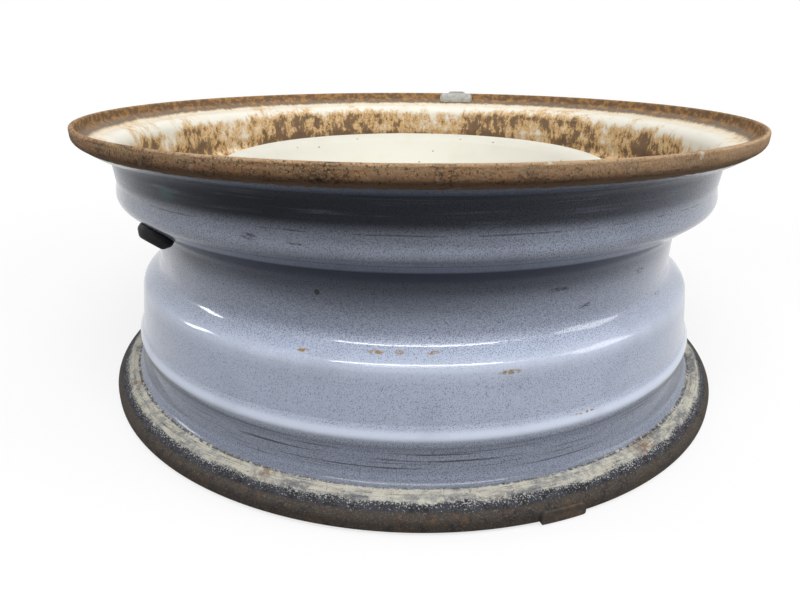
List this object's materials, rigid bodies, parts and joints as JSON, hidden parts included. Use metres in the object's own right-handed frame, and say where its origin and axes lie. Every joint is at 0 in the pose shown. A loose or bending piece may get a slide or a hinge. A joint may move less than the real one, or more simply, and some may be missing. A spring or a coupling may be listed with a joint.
{
  "type": "steel car wheel",
  "caption": "Bare pressed-steel car wheel, rolled drop-centre rim with a welded dished disc, snap-in tyre valve and clip-on balance weights, rusted",
  "frame": {"origin": "on the wheel axis, in the plane of the hub mounting face", "axes": "+Z along the wheel axis, outboard side up; -Y towards the viewer of the picture"},
  "size_m": [0.4152, 0.415, 0.1704],
  "materials": {
    "painted_steel": "glossy grey paint, rust along the lips",
    "disc_paint": "cream paint with rust specks",
    "valve_rubber": "matt black rubber",
    "valve_brass": "dull brass",
    "gasket": "plain seal plastic",
    "spring_steel": "dull spring steel",
    "cap_plastic": "black moulded plastic",
    "lead": "dull grey cast lead"
  },
  "bodies": {
    "wheel": {"rim_barrel": "painted_steel", "wheel_disc": "disc_paint", "disc_welds": "painted_steel", "valve_rubber": "valve_rubber", "valve_stem": "valve_brass", "valve_core_body": "valve_brass", "valve_core_gasket": "gasket", "valve_core_spring": "spring_steel", "outer_weight_lead": "lead", "outer_weight_clip": "spring_steel", "inner_weight_lead": "lead", "inner_weight_clip": "spring_steel"},
    "core_pin": {"valve_core_pin": "valve_brass", "valve_core_seal": "valve_rubber"},
    "cap": {"valve_cap": "cap_plastic", "valve_cap_seal": "valve_rubber"}
  },
  "joints": [
    {"name": "core_pin_press", "type": "slide", "parent": "wheel", "child": "core_pin", "axis": [-0.4688, -0.4371, -0.7676], "range_m": [0, 0.001], "stiffness_N_per_m": 300, "springref_m": -0.001},
    {"name": "cap_lift", "type": "slide", "parent": "wheel", "child": "cap", "axis": [0.4688, 0.4371, 0.7676], "range_m": [0, 0.012]}
  ]
}
